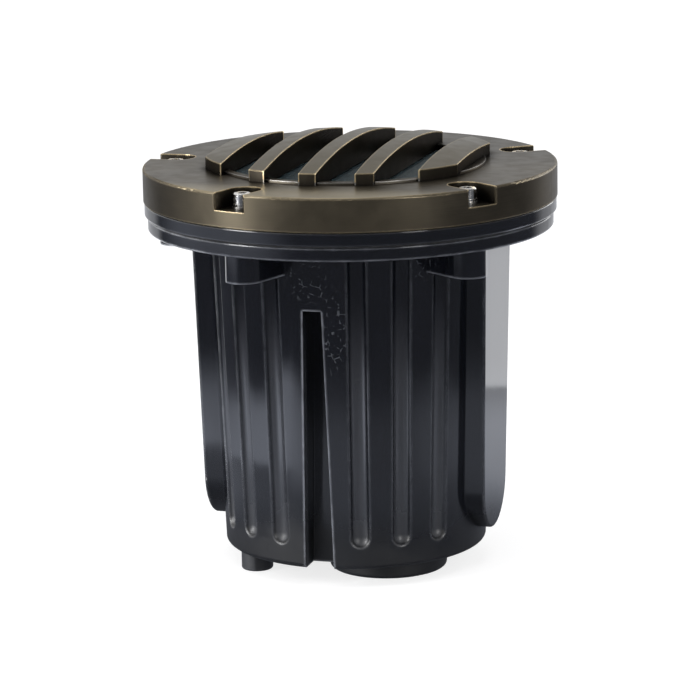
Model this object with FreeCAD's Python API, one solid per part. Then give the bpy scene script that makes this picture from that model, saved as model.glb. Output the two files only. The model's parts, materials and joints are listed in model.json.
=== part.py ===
import FreeCAD
import Part
import math
import os

# In ground well light: a cast brass cover with an arched grille over a moulded black housing.
# Millimetres. +Z is up, the origin is on the light's axis at the plane that its feet stand on.
# +X points through one flat side pad, the grille's ribs run along Y, the front channel faces -Y.

# Heights, from the ground up
foot_height = 9.5
body_height = 158.6
flange_thickness = 6.6
seal_thickness = 0.8
ring_height = 6.5
cover_height = 16.7

# Lamp and its holder
lamp_rim_radius = 57.15
lamp_rim_height = 6.5
lamp_rim_width = 5.65
lamp_bowl_depth = 44.5
lamp_glass = 2.4
lamp_dome_height = 5.0
lamp_neck_radius = 12.0
lamp_neck_length = 8.0
lamp_curve_steps = 6
burner_radius = 5.0
burner_length = 22.0
lug_spacing = 15.0
lug_length = 9.0
lug_width = 7.0
lug_screw_length = 6.0
lug_head_radius = 3.0
lug_head_height = 1.5
holder_sheet = 1.0
holder_height = 11.0
holder_slack = 0.15
cushion_thickness = 1.0
holder_opening = 2.0
snap_wire_radius = 1.0
snap_gap = 12.0
snap_gap_angle = 60.0
pivot_depth = 36.7

# Yoke, swivel and bracket
yoke_sheet = 1.5
yoke_width = 16.0
pivot_shoulder = 0.9
pivot_shoulder_radius = 3.5
pivot_stud_radius = 2.0
running_gap = 0.05
flat_gap = 0.1
tilt_washer_radius = 4.2
tilt_washer_thickness = 0.5
tilt_nut_thickness = 1.8
tilt_nut_flats = 7.0
swivel_clearance = 1.5
swivel_room = 12.67
yoke_clearance = 0.6
yoke_waist_gap = 1.5
yoke_flare_rise = 0.87
swivel_bolt_radius = 3.0
thrust_washer_radius = 7.5
thrust_washer_thickness = 1.75
spring_washer_radius = 6.0
spring_washer_thickness = 1.4
swivel_head_height = 4.0
swivel_nut_height = 5.0
swivel_bolt_tail = 2.0
hex_m6_flats = 10.0
bracket_sheet = 2.0
bracket_width = 24.0
bracket_foot = 10.5
bracket_end_gap = 1.4
bracket_screw_offset = 0.25
bracket_hole_slack = 0.2

# Housing moulding
wall = 2.6
floor_thickness = 3.0
body_taper = 5.8
bottom_fillet = 2.5
flute_count = 20
flute_depth = 3.2
flute_width = 9.1
flute_bottom_gap = 10.8
flute_edge = 1.0
flange_width = 29.0
boss_radius = 8.9
boss_depth = 13.0
boss_inset = 9.5
pad_reach = 4.0
pad_draft = 0.0205
pad_top_half_width = 25.7
pad_low_half_width = 22.4
pad_bottom_gap = 9.0
pad_edge = 1.2
channel_depth = 14.2
channel_top_gap = 29.9
channel_top_width = 9.3
channel_bottom_width = 14.4
hub_radius = 29.0
hub_x = 20.7
hub_y = -14.5
hub_bore_radius = 10.2
hub_collar = 3.8
hub_rim = 3.5
hub_core_depth = 6.5
hub_rib = 2.4
hub_rib_count = 6
hub_edge = 2.0
stub_radius = 7.8
stub_x = -40.7
stub_y = 36.2
stub_edge = 1.2
pilot_radius = 1.95
floor_boss_radius = 5.5
floor_boss_height = 6.0

# Rings between cover and housing
ring_inset = 0.5
flange_inset = 1.5
ring_edge = 0.5
ring_bore_inset = 14.0
gasket_groove_depth = 2.4

# Cover casting
cover_edge = 1.2
skirt_wall = 5.0
plate_thickness = 5.5
land_width = 5.0
land_inset = 6.5
lens_step = 8.5
lens_bearing = 8.0
lens_slack = 0.6
lip_height = 1.2
lip_depth = 1.4
lip_width = 4.8
lip_edge = 0.4
notch_count = 5
notch_width = 16.0
notch_depth = 8.5
notch_mouth = 1.0
notch_wall = 3.6
notch_round_inset = 2.0
rib_pitch = 26.7
rib_width = 8.55
rib_apex = 12.4
rib_dome_radius = 379.0
rib_end_overlap = 8.9
rib_rear_shift = 2.5
rib_outer_overlap = 1.3
rib_shift = -1.3
rib_edge = 0.45

# Lens seat
lens_thickness = 6.0
lens_edge = 0.6
lens_gasket_thickness = 0.8
lens_gasket_setback = 1.0
clamp_thickness = 2.0
clamp_inset = 1.0
clamp_screw_count = 6
clamp_screw_depth = 5.0

# Cover screws and their inserts
screw_radius = 2.5
screw_head_radius = 4.25
screw_head_height = 5.0
screw_socket_flats = 4.0
screw_socket_depth = 2.5
screw_length = 35.0
screw_clearance = 0.3
screw_head_edge = 0.4
flat_washer_radius = 5.0
flat_washer_thickness = 1.0
lock_washer_radius = 4.6
lock_washer_thickness = 1.2
lock_washer_gap = 1.0
insert_radius = 4.0
insert_length = 12.0
insert_tip_room = 0.6
insert_thread_gap = 0.1

# Small screws
small_screw_radius = 1.5
small_head_radius = 2.8
small_head_height = 1.8
slot_width = 0.8
slot_depth = 0.8
ring_screw_length = 10.0
ring_pilot_depth = 5.2
clamp_head_radius = 2.4
pilot_tip_room = 0.5
bracket_screw_radius = 1.9
bracket_head_radius = 3.6
bracket_head_height = 2.4
bracket_screw_length = 7.5
bracket_slot = 1.0

# Supply joint
terminal_length = 24.0
terminal_width = 20.0
terminal_height = 14.0
terminal_x = -30.0
terminal_pad_height = 4.0
terminal_pad_margin = 1.0
terminal_pitch = 9.0
terminal_bore_radius = 2.6
terminal_sleeve_wall = 0.6
terminal_screw_radius = 1.4
terminal_screw_slack = 0.2
terminal_bore_height = 6.3
terminal_screw_offset = 5.5
terminal_sleeve_inset = 1.0
terminal_corner = 1.5
terminal_sink_depth = 4.0
terminal_screw_sink = 0.6
terminal_slot = 0.6
fixing_tip_room = 0.2

# Cable entry
cable_radius = 4.2
gland_thread_start = 3.0
gland_flats = 22.0
gland_hex_height = 5.0
gland_barrel_radius = 8.6
gland_barrel_height = 8.0
gland_washer_radius = 12.4
gland_washer_thickness = 1.5
gland_seal_radius = 7.0
gland_nut_radius = 10.6
gland_nut_height = 13.0
gland_nut_top = 2.4
gland_nut_lift = 0.5
gland_seal_depth = 6.0
gland_seal_stand = 0.8
grip_count = 12
grip_radius = 1.3
grip_offset = 0.7

# Levels
base_z = foot_height
floor_z = base_z + floor_thickness
flange_z = base_z + body_height
flange_top_z = flange_z + flange_thickness
ring_z = flange_top_z + seal_thickness
cover_z = ring_z + ring_height
face_z = cover_z + cover_height
lip_z = face_z - lip_depth
lens_top_z = lip_z - lens_gasket_thickness
lens_low_z = lens_top_z - lens_thickness
clamp_low_z = lens_low_z - clamp_thickness
notch_z = face_z - notch_depth
pivot_z = face_z - pivot_depth
floor_boss_z = floor_z + floor_boss_height

# Levels of the lamp, and of the swivel that stands a hand's room below it
lamp_rim_low_z = pivot_z - holder_height / 2.0 + holder_sheet + cushion_thickness
lamp_joint_z = lamp_rim_low_z + lamp_rim_height / 2.0
lamp_rim_top_z = lamp_rim_low_z + lamp_rim_height
lamp_bowl_radius = lamp_rim_radius - lamp_rim_width
neck_fraction = lamp_neck_radius / lamp_bowl_radius
lamp_neck_z = lamp_rim_low_z - lamp_bowl_depth * (1.0 - neck_fraction ** 2) - lamp_neck_length
swivel_head_z = lamp_neck_z - lug_length - swivel_room
spring_top_z = swivel_head_z - swivel_head_height
yoke_mid_z = spring_top_z - spring_washer_thickness - running_gap - yoke_sheet / 2.0
bracket_top_z = yoke_mid_z - yoke_sheet / 2.0 - running_gap - thrust_washer_thickness

# Radii, outward from the lamp
holder_inner = lamp_rim_radius + holder_slack
holder_outer = holder_inner + holder_sheet
shoulder_face = holder_outer + pivot_shoulder
arm_inner = shoulder_face + flat_gap
arm_outer = arm_inner + yoke_sheet
tilt_washer_face = arm_outer + flat_gap + tilt_washer_thickness
stud_end = tilt_washer_face + flat_gap + tilt_nut_thickness
cavity_top_radius = stud_end + swivel_clearance
body_top_radius = cavity_top_radius + wall + flute_depth
body_bottom_radius = body_top_radius - body_taper
flange_radius = body_top_radius + flange_width
ring_radius = flange_radius + flange_inset
cover_radius = ring_radius + ring_inset
screw_circle = flange_radius - boss_inset
ring_bore = screw_circle - ring_bore_inset
land_outer = screw_circle - land_inset
land_inner = land_outer - land_width
lens_radius = land_inner - lens_step
window_radius = lens_radius - lens_bearing
clamp_radius = land_inner - clamp_inset
clamp_screw_circle = (lens_radius + lens_slack + clamp_radius) / 2.0

# Channel and the room it leaves
channel_back = body_bottom_radius - channel_depth
channel_top_z = flange_z - channel_top_gap
island_back = channel_back - wall
yoke_reach = island_back - yoke_clearance
waist_outer = math.sqrt(yoke_reach ** 2 - (yoke_width / 2.0) ** 2)
bracket_foot_end = island_back - bracket_end_gap
bracket_screw_y = bracket_foot_end - bracket_foot / 2.0 + bracket_screw_offset

# How far the cover screws reach below their inserts
grip_length = notch_z - flange_top_z + flat_washer_thickness + lock_washer_thickness
reach_below_insert = screw_length - insert_length - grip_length

# Where the cover screws stand, one of them over the -X side
notch_step = 360.0 / notch_count
notch_angles = [180.0 + notch_step * i for i in range(notch_count)]
between_angles = [angle + notch_step / 2.0 for angle in notch_angles]

X_AXIS = FreeCAD.Vector(1, 0, 0)
Y_AXIS = FreeCAD.Vector(0, 1, 0)
Z_AXIS = FreeCAD.Vector(0, 0, 1)
CENTRE = FreeCAD.Vector(0, 0, 0)
MORE = 20.0


def vec(x, y, z):
    return FreeCAD.Vector(x, y, z)


def disc(radius, low, high, x=0.0, y=0.0):
    return Part.makeCylinder(radius, high - low, vec(x, y, low), Z_AXIS)


def tube(inner, outer, low, high, x=0.0, y=0.0):
    return disc(outer, low, high, x, y).cut(disc(inner, low - 1.0, high + 1.0, x, y))


def block(x_low, x_high, y_low, y_high, z_low, z_high):
    corner = vec(x_low, y_low, z_low)
    return Part.makeBox(x_high - x_low, y_high - y_low, z_high - z_low, corner, Z_AXIS)


def hexagon(flats, low, high, x=0.0, y=0.0):
    corner = flats / math.sqrt(3.0)
    points = [vec(x + corner * math.cos(math.radians(60 * i)),
                  y + corner * math.sin(math.radians(60 * i)), low) for i in range(7)]
    return Part.Face(Part.makePolygon(points)).extrude(vec(0, 0, high - low))


def turned(profile):
    # A closed outline of (radius, height) pairs, spun round the vertical axis.
    points = [vec(r, 0, z) for r, z in profile]
    face = Part.Face(Part.makePolygon(points + points[:1]))
    return face.revolve(CENTRE, Z_AXIS, 360)


def prism_along_y(profile, y_low, y_high):
    points = [vec(x, y_low, z) for x, z in profile]
    face = Part.Face(Part.makePolygon(points + points[:1]))
    return face.extrude(vec(0, y_high - y_low, 0))


def spun(shape, angle):
    copy = shape.copy()
    copy.rotate(CENTRE, Z_AXIS, angle)
    return copy


def ring_of(shape, angles):
    return [spun(shape, angle) for angle in angles]


def merged(shapes):
    return shapes[0].multiFuse(shapes[1:]).removeSplitter()


def lying(shape, x, z):
    # Stands a shape made about +Z at the origin on the +X side of the lamp, pointing outward.
    copy = shape.copy()
    copy.rotate(CENTRE, Y_AXIS, 90)
    copy.translate(vec(x, 0, z))
    return copy


def save(name, shapes):
    solids = [solid for shape in shapes for solid in shape.Solids]
    whole = solids[0] if len(solids) == 1 else Part.makeCompound(solids)
    valid = all(solid.isValid() for solid in solids)
    box = whole.BoundBox
    print("%-24s solids %2d valid %s volume %10.1f z %.2f..%.2f"
          % (name, len(solids), valid, whole.Volume, box.ZMin, box.ZMax))
    whole.exportStep(os.path.join("parts", name + ".step"))


# ---- housing ----

def body_radius(z):
    return body_top_radius - body_taper * (flange_z - z) / body_height


def cavity_radius(z):
    return body_radius(z) - wall


def pad_face(z):
    return body_top_radius + pad_reach - pad_draft * (flange_z - z)


def drafted_barrel():
    barrel = turned([(0, base_z), (body_radius(base_z), base_z),
                     (body_radius(flange_z), flange_z), (0, flange_z)])
    rim = [edge for edge in barrel.Edges
           if abs(edge.BoundBox.ZMax - base_z) < 0.01 and edge.BoundBox.XLength > body_bottom_radius]
    return barrel.makeFillet(bottom_fillet, rim)


def flute(angle, grow=0.0):
    # A round-bottomed groove that follows the wall's draft and ends in a round toe.
    radius = (flute_width ** 2 / 4.0 + flute_depth ** 2) / (2.0 * flute_depth)
    low = base_z + flute_bottom_gap + radius
    start = vec(body_radius(low) + radius - flute_depth, 0, low)
    end = vec(body_radius(flange_z) + radius - flute_depth, 0, flange_z)
    run = end - start
    groove = Part.makeCylinder(radius + grow, run.Length + MORE, start, run)
    toe = Part.makeSphere(radius + grow, start)
    return spun(groove.fuse(toe), angle)


def flute_angles():
    # Flutes lie all round, apart from the two side pads and the channel.
    step = 360.0 / flute_count
    pad_half_angle = math.degrees(math.asin(pad_top_half_width / body_top_radius))
    kept = []
    for i in range(flute_count):
        angle = step * i
        from_pad = min(abs((angle - side + 180) % 360 - 180) for side in (0, 180))
        from_channel = abs((angle - 270 + 180) % 360 - 180)
        if from_pad > pad_half_angle and from_channel > step / 2.0:
            kept.append(angle)
    return kept


def pad_outline(shrink):
    # Outline of a side pad seen along X: straight sides, a half-round lower end.
    bottom = base_z + pad_bottom_gap + shrink
    low_half = pad_low_half_width - shrink
    top_half = pad_top_half_width - shrink
    centre = bottom + low_half
    top = flange_z
    x = cavity_top_radius / 2.0
    sides = [Part.makeLine(vec(x, -low_half, centre), vec(x, -top_half, top)),
             Part.makeLine(vec(x, -top_half, top), vec(x, top_half, top)),
             Part.makeLine(vec(x, top_half, top), vec(x, low_half, centre))]
    end = Part.Arc(vec(x, low_half, centre), vec(x, 0, bottom), vec(x, -low_half, centre)).toShape()
    return Part.Wire(sides + [end])


def pad(shrink):
    prism = Part.Face(pad_outline(shrink)).extrude(vec(body_top_radius, 0, 0))
    reach = body_top_radius
    slab = prism_along_y([(0, 0), (pad_face(0) - shrink, 0),
                          (pad_face(flange_z + MORE) - shrink, flange_z + MORE), (0, flange_z + MORE)],
                         -reach, reach)
    return prism.common(slab)


def flute_lips(barrel):
    # Edges where the flutes meet the drafted wall, down both sides and round their toes.
    wall_faces = [face for face in barrel.Faces if isinstance(face.Surface, Part.Cone)]
    lips = [edge for face in wall_faces for edge in face.Edges]
    low = base_z + flute_bottom_gap / 2.0
    return [edge for edge in lips if edge.BoundBox.ZMin > low and edge.BoundBox.ZLength > 1.0]


def outer_pad():
    plain = pad(0.0)
    outer = max(plain.Faces, key=lambda face: face.CenterOfMass.x)
    border = [edge for edge in outer.Edges if edge.BoundBox.ZMin < flange_z - 0.01]
    return plain.makeFillet(pad_edge, border)


def channel_block(grow):
    top_half = channel_top_width / 2.0 + grow
    low_half = channel_bottom_width / 2.0 + grow
    profile = [(-low_half, base_z - 1.0), (low_half, base_z - 1.0),
               (top_half, channel_top_z + grow), (-top_half, channel_top_z + grow)]
    return prism_along_y(profile, -body_top_radius - MORE, -channel_back + grow)


def screw_boss():
    low = flange_z - boss_depth
    round_part = disc(boss_radius, low, flange_z, screw_circle, 0)
    web = block(cavity_top_radius, screw_circle, -boss_radius, boss_radius, low, flange_z)
    return round_part.fuse(web)


def foot_edge(foot, size):
    rim = [edge for edge in foot.Edges if edge.BoundBox.ZMax < 0.01]
    return foot.makeFillet(size, rim)


def hub_foot():
    foot = foot_edge(disc(hub_radius, 0.0, base_z + 1.0, hub_x, hub_y), hub_edge)
    core = tube(hub_bore_radius + hub_collar, hub_radius - hub_rim, -1.0, hub_core_depth)
    for i in range(hub_rib_count // 2):
        rib = block(-hub_radius, hub_radius, -hub_rib / 2.0, hub_rib / 2.0, -1.0, hub_core_depth)
        core = core.cut(spun(rib, 360.0 * i / hub_rib_count))
    core.translate(vec(hub_x, hub_y, 0))
    return foot.cut(core)


def stub_feet():
    feet = []
    for side in (-1, 1):
        stub = disc(stub_radius, 0.0, base_z + floor_thickness, stub_x, side * stub_y)
        feet.append(foot_edge(stub, stub_edge))
    return feet


def cavity():
    hollow = turned([(0, floor_z), (cavity_radius(floor_z), floor_z),
                     (cavity_radius(flange_z), flange_z), (cavity_radius(flange_z), flange_top_z + 1.0),
                     (0, flange_top_z + 1.0)])
    # The wall is as thick behind a flute as it is beside one.
    hollow = hollow.cut([flute(angle, wall) for angle in flute_angles()])
    side = pad(wall)
    hollow = hollow.fuse([side, spun(side, 180)])
    return hollow.cut(channel_block(wall))


def floor_bosses():
    bosses = []
    for side in (-1, 1):
        bosses.append(disc(floor_boss_radius, floor_z - 1.0, floor_boss_z, 0, side * bracket_screw_y))
    half_x = terminal_length / 2.0 + terminal_pad_margin
    half_y = terminal_width / 2.0 + terminal_pad_margin
    bosses.append(block(terminal_x - half_x, terminal_x + half_x, -half_y, half_y,
                        floor_z - 1.0, floor_z + terminal_pad_height))
    return bosses


def floor_pilots():
    pilots = []
    for side in (-1, 1):
        pilots.append(disc(pilot_radius, floor_z - 1.0, floor_boss_z + 1.0, 0, side * bracket_screw_y))
    pilots.append(disc(small_screw_radius + running_gap, floor_z, floor_z + terminal_pad_height + 1.0,
                       terminal_x, 0))
    return pilots


def make_housing():
    barrel = drafted_barrel()
    barrel = barrel.cut([flute(angle) for angle in flute_angles()])
    barrel = barrel.makeFillet(flute_edge, flute_lips(barrel))
    flange = disc(flange_radius, flange_z, flange_top_z)
    rim = [edge for edge in flange.Edges if edge.BoundBox.XLength > flange_radius]
    flange = flange.makeChamfer(ring_edge, rim)
    side = outer_pad()
    outside = merged([barrel, flange, side, spun(side, 180), hub_foot()] + stub_feet()
                     + ring_of(screw_boss(), notch_angles))
    shell = outside.cut([cavity(), channel_block(0.0)])
    shell = shell.fuse(floor_bosses())
    insert_low = flange_top_z - insert_length
    tip = insert_low - reach_below_insert - insert_tip_room
    pocket = disc(insert_radius, insert_low, flange_top_z + 1.0, screw_circle, 0)
    pocket = pocket.fuse(disc(screw_radius + screw_clearance, tip, flange_top_z, screw_circle, 0))
    cuts = ring_of(pocket, notch_angles)
    pilot_low = flange_top_z - ring_pilot_depth
    thread = disc(small_screw_radius + running_gap, pilot_low, flange_top_z + 1.0, screw_circle, 0)
    cuts += ring_of(thread, between_angles)
    cuts += floor_pilots()
    cuts.append(disc(hub_bore_radius, -1.0, floor_z + 1.0, hub_x, hub_y))
    save("housing", [shell.cut(cuts).removeSplitter()])


def make_inserts():
    low = flange_top_z - insert_length
    brass = tube(screw_radius + insert_thread_gap, insert_radius, low, flange_top_z)
    brass.translate(vec(screw_circle, 0, 0))
    save("threaded_inserts", ring_of(brass, notch_angles))


# ---- rings between housing and cover ----

def screw_holes(low, high):
    hole = disc(screw_radius + screw_clearance, low, high, screw_circle, 0)
    return ring_of(hole, notch_angles)


def ring_screw_holes(low, high):
    hole = disc(small_screw_radius + screw_clearance, low, high, screw_circle, 0)
    return ring_of(hole, between_angles)


def countersink(grow):
    return Part.makeCone(small_screw_radius + grow, small_head_radius + grow, small_head_height,
                         vec(screw_circle, 0, cover_z - small_head_height), Z_AXIS)


def make_gasket():
    seal = tube(ring_bore, ring_radius - flange_inset - ring_inset, flange_top_z, ring_z)
    cuts = screw_holes(flange_top_z - 1.0, ring_z + 1.0)
    cuts += ring_screw_holes(flange_top_z - 1.0, ring_z + 1.0)
    save("housing_gasket", [seal.cut(cuts)])


def make_mounting_ring():
    outer = disc(ring_radius, ring_z, cover_z)
    outer = outer.makeChamfer(ring_edge, [e for e in outer.Edges if e.BoundBox.XLength > ring_radius])
    ring = outer.cut(disc(ring_bore, ring_z - 1.0, cover_z + 1.0))
    cuts = [tube(land_inner, land_outer, cover_z - gasket_groove_depth, cover_z + 1.0)]
    cuts += screw_holes(ring_z - 1.0, cover_z + 1.0)
    cuts += ring_screw_holes(ring_z - 1.0, cover_z + 1.0)
    cuts += ring_of(countersink(screw_clearance), between_angles)
    save("mounting_ring", [ring.cut(cuts)])


def make_ring_screws():
    low = cover_z - ring_screw_length
    screw = disc(small_screw_radius, low, cover_z - small_head_height, screw_circle, 0)
    screw = screw.fuse(countersink(0.0))
    half = slot_width / 2.0
    slot = block(screw_circle - small_head_radius, screw_circle + small_head_radius, -half, half,
                 cover_z - slot_depth, cover_z + 1.0)
    save("ring_screws", ring_of(screw.cut(slot), between_angles))


def make_cover_gasket():
    save("cover_gasket", [tube(land_inner + running_gap, land_outer - running_gap,
                               cover_z - gasket_groove_depth, cover_z)])


# ---- cover ----

def cover_ring():
    rough = disc(cover_radius, cover_z, face_z)
    top = [e for e in rough.Edges if e.BoundBox.ZMin > face_z - 0.01]
    rough = rough.makeFillet(cover_edge, top)
    low = [e for e in rough.Edges if e.BoundBox.ZMax < cover_z + 0.01 and e.BoundBox.XLength > cover_radius]
    rough = rough.makeChamfer(ring_edge, low)
    lip_outer = window_radius + lip_width
    lip = turned([(window_radius - 1.0, face_z - 1.0), (lip_outer, face_z - 1.0), (lip_outer, face_z),
                  (lip_outer - lip_edge, face_z + lip_height),
                  (window_radius + lip_edge, face_z + lip_height),
                  (window_radius, face_z + lip_height - lip_edge),
                  (window_radius - 1.0, face_z)])
    return rough.fuse(lip)


def cover_hollow():
    # Window, stepped seat for the glass, and the groove between sealing land and skirt.
    seat = lens_radius + lens_slack
    core = turned([(0, cover_z - 1.0), (land_inner, cover_z - 1.0), (land_inner, lens_low_z),
                   (seat, lens_low_z), (seat, lip_z), (window_radius, lip_z),
                   (window_radius, face_z + MORE), (0, face_z + MORE)])
    groove = tube(land_outer, cover_radius - skirt_wall, cover_z - 1.0, face_z - plate_thickness)
    half = notch_width / 2.0 + notch_wall
    boss = block(land_outer - 1.0, cover_radius - skirt_wall + 1.0, -half, half, cover_z - 2.0, face_z)
    return core, groove.cut(ring_of(boss, notch_angles))


def notch_cutter():
    # U-shaped pocket, open at the rim, with a rounded mouth.
    half = notch_width / 2.0
    rim = math.sqrt((cover_radius - notch_mouth) ** 2 - (half + notch_mouth) ** 2)
    centre = screw_circle - notch_round_inset
    slot = disc(half, notch_z, face_z + 1.0, centre, 0)
    slot = slot.fuse(block(centre, cover_radius + MORE, -half, half, notch_z, face_z + 1.0))
    flare = block(rim, cover_radius + MORE, -half - notch_mouth, half + notch_mouth, notch_z, face_z + 1.0)
    for side in (-1, 1):
        corner = disc(notch_mouth, notch_z - 1.0, face_z + 2.0, rim, side * (half + notch_mouth))
        flare = flare.cut(corner)
    return slot.fuse(flare)


def rib_plan(x_low, x_high):
    # One rib's footprint: straight sides, both ends cut to a circle that sits a little to the rear.
    end = window_radius + rib_end_overlap
    strip = block(x_low, x_high, -end, end + rib_rear_shift, -lip_depth, rib_apex + 1.0)
    return strip.common(disc(end, -lip_depth, rib_apex + 1.0, 0, rib_rear_shift))


def rib_bars():
    outer_face = window_radius + rib_outer_overlap
    bars = [(rib_pitch * i - rib_width / 2.0, rib_pitch * i + rib_width / 2.0) for i in (-1, 0, 1)]
    inner_face = 2.0 * rib_pitch - rib_width / 2.0
    bars += [(-outer_face, -inner_face), (inner_face, outer_face)]
    return bars


def grille():
    # Five bars whose tops lie on one shallow dome, drawn from the cover's face and lifted on to it.
    # The dome's poles lie off to the sides, clear of the bars.
    dome = Part.makeSphere(rib_dome_radius)
    dome.rotate(CENTRE, X_AXIS, 90)
    dome.translate(vec(0, rib_rear_shift, rib_apex - rib_dome_radius))
    ribs = []
    for x_low, x_high in rib_bars():
        bar = rib_plan(x_low, x_high).common(dome)
        top = max(bar.Faces, key=lambda face: face.CenterOfMass.z)
        bar = bar.makeFillet(rib_edge, top.Edges)
        bar.translate(vec(rib_shift, 0, face_z))
        ribs.append(bar)
    return ribs


def clamp_angles():
    return [360.0 / clamp_screw_count * (i + 0.5) for i in range(clamp_screw_count)]


def make_cover():
    core, groove = cover_hollow()
    casting = cover_ring().cut([core, groove])
    casting = merged([casting] + grille())
    cuts = ring_of(notch_cutter(), notch_angles)
    cuts += screw_holes(cover_z - 1.0, face_z)
    pilot = disc(small_screw_radius + running_gap, lens_low_z - 1.0, lens_low_z + clamp_screw_depth,
                 clamp_screw_circle, 0)
    cuts += ring_of(pilot, clamp_angles())
    save("cover", [casting.cut(cuts).removeSplitter()])


def make_lens():
    glass = disc(lens_radius, lens_low_z, lens_top_z)
    edges = [edge for edge in glass.Edges if edge.BoundBox.XLength > lens_radius]
    save("lens", [glass.makeChamfer(lens_edge, edges)])
    save("lens_gasket", [tube(window_radius + lens_gasket_setback, lens_radius, lens_top_z, lip_z)])


def make_clamp_ring():
    ring = tube(window_radius + lens_gasket_setback, clamp_radius, clamp_low_z, lens_low_z)
    hole = disc(small_screw_radius + screw_clearance, clamp_low_z - 1.0, lens_low_z + 1.0,
                clamp_screw_circle, 0)
    save("lens_clamp_ring", [ring.cut(ring_of(hole, clamp_angles()))])
    low = clamp_low_z - small_head_height
    tip = lens_low_z + clamp_screw_depth - pilot_tip_room
    screw = disc(clamp_head_radius, low, clamp_low_z, clamp_screw_circle, 0)
    screw = screw.fuse(disc(small_screw_radius, clamp_low_z, tip, clamp_screw_circle, 0))
    half = slot_width / 2.0
    slot = block(clamp_screw_circle - MORE, clamp_screw_circle + MORE, -half, half,
                 low - 1.0, low + slot_depth)
    save("clamp_screws", ring_of(screw.cut(slot), clamp_angles()))


def make_cover_screws():
    washer_z = notch_z + flat_washer_thickness
    head_z = washer_z + lock_washer_thickness
    top = head_z + screw_head_height
    head = disc(screw_head_radius, head_z, top, screw_circle, 0)
    head = head.makeChamfer(screw_head_edge, [e for e in head.Edges if e.BoundBox.ZMin > top - 0.01])
    head = head.cut(hexagon(screw_socket_flats, top - screw_socket_depth, top + 1.0, screw_circle, 0))
    shank = disc(screw_radius, head_z - screw_length, head_z, screw_circle, 0)
    save("cover_screws", ring_of(head.fuse(shank), notch_angles))
    flat = tube(screw_radius + running_gap, flat_washer_radius, notch_z, washer_z, screw_circle, 0)
    save("flat_washers", ring_of(flat, notch_angles))
    lock = tube(screw_radius + running_gap, lock_washer_radius, washer_z, head_z, screw_circle, 0)
    half = lock_washer_gap / 2.0
    gap = block(screw_circle, screw_circle + MORE, -half, half, washer_z - 1.0, head_z + 1.0)
    save("lock_washers", ring_of(lock.cut(gap), notch_angles))


# ---- lamp ----

def bowl_depth(radius, thickness):
    # Parabolic bowl, measured down from the underside of the lamp's rim.
    return (lamp_bowl_depth - thickness) * (1.0 - (radius / (lamp_bowl_radius - thickness)) ** 2)


def bowl_curve(radius_low, thickness):
    # Points from the rim down to the neck, evenly spaced in radius.
    top = lamp_bowl_radius - thickness
    points = []
    for i in range(lamp_curve_steps + 1):
        r = top + (radius_low - top) * i / lamp_curve_steps
        points.append(vec(r, 0, lamp_rim_low_z - bowl_depth(r, thickness)))
    return points


def make_reflector():
    outer = bowl_curve(lamp_neck_radius, 0.0)
    inner = bowl_curve(lamp_neck_radius - lamp_glass, lamp_glass)
    outer_edge = Part.BSplineCurve()
    outer_edge.interpolate(outer)
    inner_edge = Part.BSplineCurve()
    inner_edge.interpolate(inner)
    corners = [outer[0], vec(lamp_rim_radius, 0, lamp_rim_low_z), vec(lamp_rim_radius, 0, lamp_joint_z),
               vec(inner[0].x, 0, lamp_joint_z), inner[0]]
    edges = [Part.makeLine(a, b) for a, b in zip(corners, corners[1:])]
    edges.append(inner_edge.toShape())
    neck_floor = lamp_neck_z + lamp_glass
    tail = [inner[-1], vec(inner[-1].x, 0, neck_floor), vec(0, 0, neck_floor),
            vec(0, 0, lamp_neck_z), vec(lamp_neck_radius, 0, lamp_neck_z), outer[-1]]
    edges += [Part.makeLine(a, b) for a, b in zip(tail, tail[1:])]
    edges.append(outer_edge.toShape())
    face = Part.Face(Part.Wire(Part.__sortEdges__(edges)))
    save("lamp_reflector", [face.revolve(CENTRE, Z_AXIS, 360)])


def make_lamp_lens():
    crown = lamp_rim_top_z + lamp_dome_height
    radius = (lamp_bowl_radius ** 2 + lamp_dome_height ** 2) / (2.0 * lamp_dome_height)
    centre = crown - radius
    solid = disc(lamp_rim_radius, lamp_joint_z, crown).common(Part.makeSphere(radius, vec(0, 0, centre)))
    skirt = tube(lamp_bowl_radius - 1.0, lamp_rim_radius, lamp_joint_z, lamp_rim_top_z)
    hollow = disc(lamp_bowl_radius - lamp_glass, lamp_joint_z - 1.0, crown)
    hollow = hollow.common(Part.makeSphere(radius - lamp_glass, vec(0, 0, centre)))
    save("lamp_lens", [solid.cut(hollow).fuse(skirt).removeSplitter()])


def make_burner():
    low = lamp_neck_z + lamp_glass
    tip = low + burner_length
    capsule = disc(burner_radius, low, tip).fuse(Part.makeSphere(burner_radius, vec(0, 0, tip)))
    save("lamp_burner", [capsule.removeSplitter()])


def make_lugs():
    lugs = []
    screws = []
    half = lug_width / 2.0
    z = lamp_neck_z - lug_length / 2.0
    for side in (-1, 1):
        x = side * lug_spacing / 2.0
        post = block(x - half, x + half, -half, half, lamp_neck_z - lug_length, lamp_neck_z)
        hole = Part.makeCylinder(small_screw_radius, MORE, vec(x, -MORE / 2.0, z), Y_AXIS)
        lugs.append(post.cut(hole))
        face = -half - lug_head_height
        shank = Part.makeCylinder(small_screw_radius - running_gap, lug_screw_length,
                                  vec(x, -half, z), Y_AXIS)
        head = Part.makeCylinder(lug_head_radius, lug_head_height, vec(x, face, z), Y_AXIS)
        slot = block(x - lug_width, x + lug_width, face - 1.0, face + slot_depth,
                     z - slot_width / 2.0, z + slot_width / 2.0)
        screws.append(head.fuse(shank).cut(slot))
    save("lamp_lugs", lugs)
    save("lug_screws", screws)


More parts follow.
